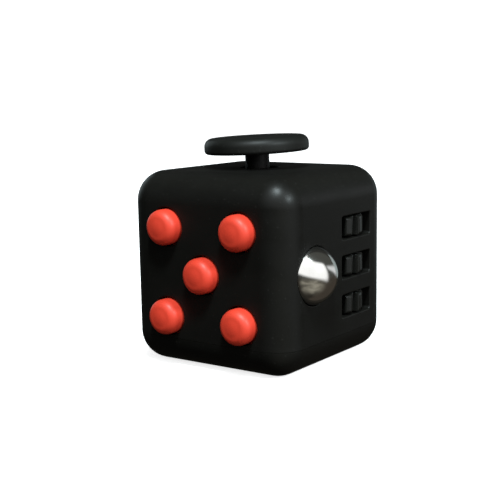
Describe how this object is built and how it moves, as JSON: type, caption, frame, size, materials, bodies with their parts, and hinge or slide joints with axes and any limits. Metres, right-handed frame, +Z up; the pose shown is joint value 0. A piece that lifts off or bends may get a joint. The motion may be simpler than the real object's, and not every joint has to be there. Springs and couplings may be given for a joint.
{
  "type": "fidget cube",
  "caption": "Palm-size cube hand toy with push buttons, a joystick, a rolling ball with gear wheels, a rocker switch, a spinning dial and a thumb dimple.",
  "frame": {"origin": "middle of the cube's underside, on the surface that it stands on", "axes": "+Z up through the joystick, -Y out of the push-button side, +X out of the ball and gear side"},
  "size_m": [0.0396, 0.0377, 0.0386],
  "materials": {
    "casing_shell": "near-black fine-grained plastic, satin",
    "buttons": "red-orange plastic, soft satin gloss",
    "thumb_pad": "black soft-touch rubber, smooth",
    "stick": "black plastic, satin",
    "ball": "polished, mirror finish",
    "gear_wheels": "black plastic, slightly glossy teeth",
    "rocker_key": "red-orange plastic, soft satin gloss",
    "dial_knob": "black plastic, satin",
    "inner_plastic": "black moulded plastic",
    "spring_steel": "bright spring steel",
    "zinc_steel": "bright zinc-plated steel"
  },
  "bodies": {
    "casing": {"housing": "casing_shell", "base_cover": "casing_shell", "click_plate": "inner_plastic", "click_backing_plate": "zinc_steel", "click_screw_lower": "zinc_steel", "click_screw_upper": "zinc_steel", "button_spring_upper_left": "spring_steel", "button_spring_upper_right": "spring_steel", "button_spring_centre": "spring_steel", "button_spring_lower_left": "spring_steel", "button_spring_lower_right": "spring_steel", "click_dome_upper_left": "spring_steel", "click_dome_centre": "spring_steel", "click_dome_lower_right": "spring_steel", "gimbal_cup": "inner_plastic", "gimbal_screw_front": "zinc_steel", "gimbal_screw_back": "zinc_steel", "centring_spring": "spring_steel", "ball_carrier": "inner_plastic", "ball_carrier_screw_lower": "zinc_steel", "ball_carrier_screw_upper": "zinc_steel", "ball_spring": "spring_steel", "ball_click_dome": "spring_steel", "gear_carrier": "inner_plastic", "gear_carrier_screw": "zinc_steel", "gear_axle": "zinc_steel", "gear_detent_spring": "spring_steel", "rocker_frame": "inner_plastic", "rocker_pin": "zinc_steel", "rocker_screw_left": "zinc_steel", "rocker_screw_right": "zinc_steel", "toggle_leaf": "spring_steel", "dial_bush": "inner_plastic"},
    "gimbal": {"gimbal_ring": "inner_plastic"},
    "joystick": {"thumb_disc": "thumb_pad", "joystick_stem": "stick", "gimbal_cross_pin": "zinc_steel"},
    "ball_seat": {"ball_cup": "inner_plastic"},
    "ball": {"steel_ball": "ball"},
    "upper_gear": {"gear_wheel_upper": "gear_wheels"},
    "middle_gear": {"gear_wheel_middle": "gear_wheels"},
    "lower_gear": {"gear_wheel_lower": "gear_wheels"},
    "rocker_switch": {"rocker": "rocker_key"},
    "spin_dial": {"dial": "dial_knob", "dial_washer": "zinc_steel", "dial_screw": "zinc_steel"},
    "key_upper_left": {"button_upper_left": "buttons"},
    "key_upper_right": {"button_upper_right": "buttons"},
    "key_centre": {"button_centre": "buttons"},
    "key_lower_left": {"button_lower_left": "buttons"},
    "key_lower_right": {"button_lower_right": "buttons"}
  },
  "joints": [
    {"name": "press_upper_left", "type": "slide", "parent": "casing", "child": "key_upper_left", "axis": [0, 1, 0], "range_m": [0, 0.0011], "stiffness_N_per_m": 600, "springref_m": -0.0015, "deforming": ["button_spring_upper_left", "click_dome_upper_left"]},
    {"name": "press_upper_right", "type": "slide", "parent": "casing", "child": "key_upper_right", "axis": [0, 1, 0], "range_m": [0, 0.0011], "stiffness_N_per_m": 600, "springref_m": -0.0015, "deforming": ["button_spring_upper_right"]},
    {"name": "press_centre", "type": "slide", "parent": "casing", "child": "key_centre", "axis": [0, 1, 0], "range_m": [0, 0.0011], "stiffness_N_per_m": 600, "springref_m": -0.0015, "deforming": ["button_spring_centre", "click_dome_centre"]},
    {"name": "press_lower_left", "type": "slide", "parent": "casing", "child": "key_lower_left", "axis": [0, 1, 0], "range_m": [0, 0.0011], "stiffness_N_per_m": 600, "springref_m": -0.0015, "deforming": ["button_spring_lower_left"]},
    {"name": "press_lower_right", "type": "slide", "parent": "casing", "child": "key_lower_right", "axis": [0, 1, 0], "range_m": [0, 0.0011], "stiffness_N_per_m": 600, "springref_m": -0.0015, "deforming": ["button_spring_lower_right", "click_dome_lower_right"]},
    {"name": "stick_tilt_front_back", "type": "hinge", "parent": "casing", "child": "gimbal", "pos_m": [0, 0, 0.0282], "axis": [1, 0, 0], "range_deg": [-11.76, 9.24], "stiffness_Nm_per_rad": 0.05},
    {"name": "stick_tilt_left_right", "type": "hinge", "parent": "gimbal", "child": "joystick", "pos_m": [0, 0, 0.0282], "axis": [0, 0.9998, 0.0219], "range_deg": [-8.69, 12.31], "stiffness_Nm_per_rad": 0.05, "deforming": ["centring_spring"]},
    {"name": "ball_press", "type": "slide", "parent": "casing", "child": "ball_seat", "axis": [-1, 0, 0], "range_m": [0, 0.001], "stiffness_N_per_m": 800, "springref_m": -0.0015, "deforming": ["ball_spring", "ball_click_dome"]},
    {"name": "ball_roll", "type": "hinge", "parent": "ball_seat", "child": "ball", "pos_m": [0.01505, -0.008, 0.0165], "axis": [0, 0, 1], "continuous": true},
    {"name": "upper_gear_spin", "type": "hinge", "parent": "casing", "child": "upper_gear", "pos_m": [0.0114, 0.0053, 0.0232], "axis": [0, 0, 1], "continuous": true, "deforming": ["gear_detent_spring"]},
    {"name": "middle_gear_spin", "type": "hinge", "parent": "casing", "child": "middle_gear", "pos_m": [0.0114, 0.0053, 0.0165], "axis": [0, 0, 1], "continuous": true, "deforming": ["gear_detent_spring"]},
    {"name": "lower_gear_spin", "type": "hinge", "parent": "casing", "child": "lower_gear", "pos_m": [0.0114, 0.0053, 0.0098], "axis": [0, 0, 1], "continuous": true, "deforming": ["gear_detent_spring"]},
    {"name": "rocker_flip", "type": "hinge", "parent": "casing", "child": "rocker_switch", "pos_m": [0, 0.0132, 0.0165], "axis": [1, 0, 0], "range_deg": [0, 18], "deforming": ["toggle_leaf"]},
    {"name": "dial_spin", "type": "hinge", "parent": "casing", "child": "spin_dial", "pos_m": [-0.0165, 0, 0.0165], "axis": [-1, 0, 0], "continuous": true}
  ]
}
